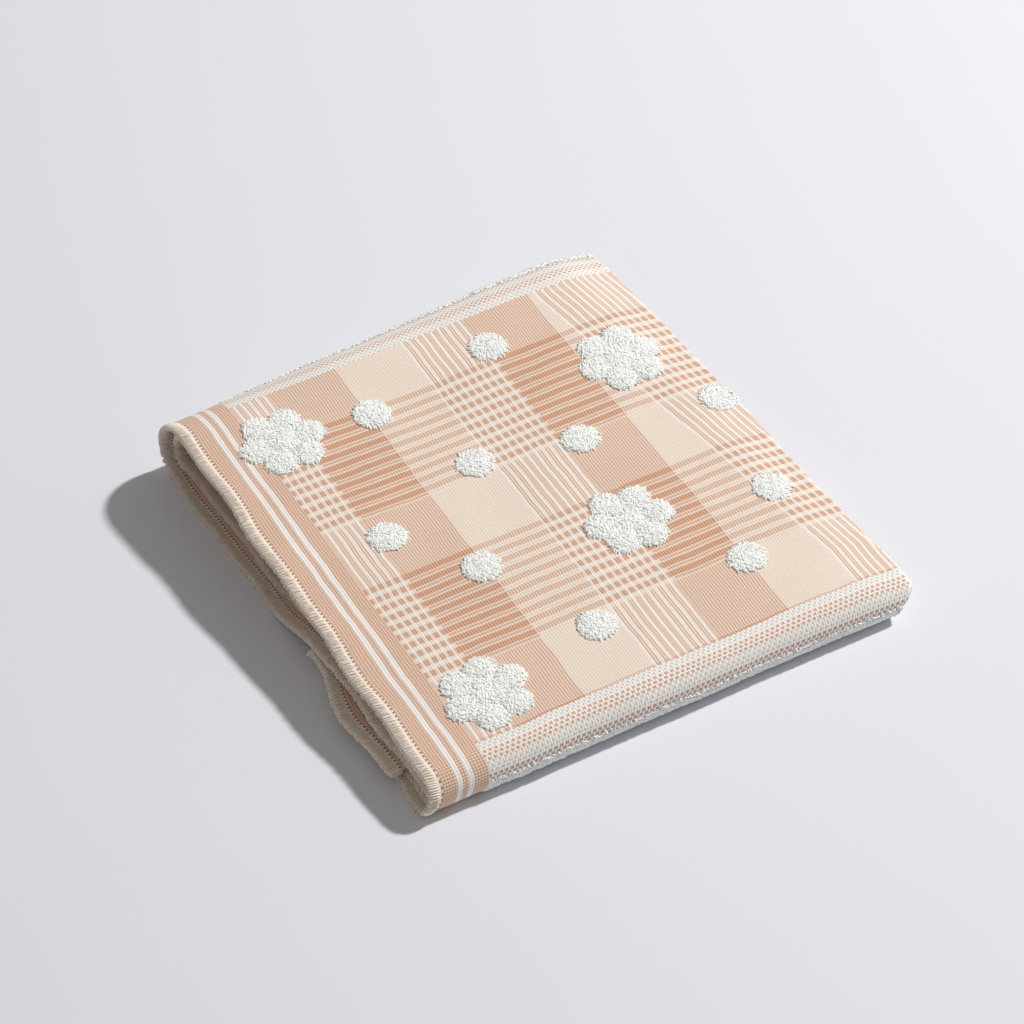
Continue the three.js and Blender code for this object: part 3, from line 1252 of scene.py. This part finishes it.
@dataclass
class Studio:
    """Pale floor, one small lamp, a pale sky and the camera.

    Floor and lamp are measured in metres, the camera's place in millimetres, and angles in degrees.
    """

    floor_colour: str = "#E8ECF5"
    floor_spots: str = "#E6EAF3"
    floor_roughness: float = 0.9
    floor_span: float = 6.0
    spots_per_metre: float = 9.0
    lamp_distance: float = 2.4
    lamp_size: float = 0.19
    lamp_power: float = 51.0
    lamp_elevation: float = 48.0
    lamp_azimuth: float = -2.0
    lamp_colour: str = "#FFFDFA"
    sky_colour: str = "#FBF4EC"
    sky_strength: float = 0.29
    camera_place: tuple[float, float, float] = (-433.72, -842.44, 860.55)
    camera_turn: float = -27.17
    camera_elevation: float = 41.94
    camera_roll: float = -3.13
    lens: float = 140.625
    sensor: float = 36.0

    def floor(self) -> bpy.types.Object:
        """Make the pale floor, painted board that is all but even.

        Returns:
            The floor.
        """
        half = self.floor_span / 2 / MM
        corners = np.array([(-half, -half, 0), (half, -half, 0), (half, half, 0), (-half, half, 0)])
        material = bpy.data.materials.new("matt painted board")
        material.use_nodes = True
        tree = material.node_tree
        place = add_node(tree, "ShaderNodeTexCoord").outputs["Object"]
        links = {"Vector": place, "Scale": self.spots_per_metre, "Detail": 3.0}
        share = add_node(tree, "ShaderNodeTexNoise", links).outputs["Fac"]
        links = {"Factor": share, 6: linear(self.floor_colour), 7: linear(self.floor_spots)}
        colour = add_node(tree, "ShaderNodeMix", links, data_type="RGBA").outputs[2]
        shader = tree.nodes["Principled BSDF"]
        tree.links.new(colour, shader.inputs["Base Color"])
        shader.inputs["Roughness"].default_value = self.floor_roughness
        return mesh_piece("floor", corners, [[0, 1, 2, 3]], material)

    def light(self) -> None:
        """Hang the lamp on the long fold's side, and set the sky."""
        lamp = bpy.data.lights.new("lamp", "AREA")
        lamp.shape = "DISK"
        lamp.size = self.lamp_size
        lamp.energy = self.lamp_power
        lamp.color = linear(self.lamp_colour)[:3]
        held = bpy.data.objects.new("lamp", lamp)
        up, round_z = math.radians(self.lamp_elevation), math.radians(self.lamp_azimuth)
        away = Vector((math.cos(up) * math.cos(round_z), math.cos(up) * math.sin(round_z), math.sin(up)))
        held.location = away * self.lamp_distance
        held.rotation_euler = away.to_track_quat("Z", "Y").to_euler()
        bpy.context.scene.collection.objects.link(held)
        world = bpy.data.worlds.new("sky")
        world.use_nodes = True
        background = world.node_tree.nodes["Background"]
        background.inputs["Color"].default_value = linear(self.sky_colour)
        background.inputs["Strength"].default_value = self.sky_strength
        bpy.context.scene.world = world

    def camera(self) -> None:
        """Place the camera above the hem side."""
        data = bpy.data.cameras.new("camera")
        data.lens = self.lens
        data.sensor_width = self.sensor
        camera = bpy.data.objects.new("camera", data)
        turned = Matrix.Rotation(math.radians(self.camera_turn), 4, "Z")
        tilted = Matrix.Rotation(math.radians(90 - self.camera_elevation), 4, "X")
        rolled = Matrix.Rotation(math.radians(self.camera_roll), 4, "Z")
        moved = Matrix.Translation(Vector(self.camera_place) * MM)
        camera.matrix_world = moved @ turned @ tilted @ rolled
        bpy.context.scene.collection.objects.link(camera)
        bpy.context.scene.camera = camera

    def set_up(self) -> None:
        """Set floor, light, camera and plain colours."""
        self.floor()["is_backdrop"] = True
        self.light()
        self.camera()
        bpy.context.scene.view_settings.view_transform = "Standard"


def main() -> None:
    """Build the towel piece by piece, dress it and set the stage."""
    logging.basicConfig(level=logging.INFO, format="%(message)s")
    Studio().set_up()
    packet = Packet()
    log.info("section %.1f mm long, %d stations", packet.length, len(packet.stations))
    terry_yarn = CottonYarn("bleached terry cotton", light="#FBFEFD", dull="#F4F8F7").material()
    seam_yarn = CottonYarn("cream overlock cotton", light="#FCF3E9", dull="#F1E4D6").material()
    cloth = Cloth(packet).build(WovenCheck().material())
    terry = Terry(packet, terry_yarn)
    overlock = Overlock(packet, seam_yarn)
    pieces = [
        terry.pads(),
        terry.figures(),
        *[terry.band(band) for band in terry.BANDS],
        overlock.build("towel_seam_upper", upper=True, seed=31),
        overlock.build("towel_seam_lower", upper=False, seed=32),
    ]
    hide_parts(CAD_NODE)
    for piece in [cloth, *pieces]:
        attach(piece, BODY)
        piece.data.calc_loop_triangles()
        log.info("%s: %d triangles", piece.name, len(piece.data.loop_triangles))
    boxes = {"cad": CAD_BOX, "visual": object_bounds()}
    {name: [list(corner) for corner in box] for name, box in boxes.items()}


if __name__ == "__main__":
    main()
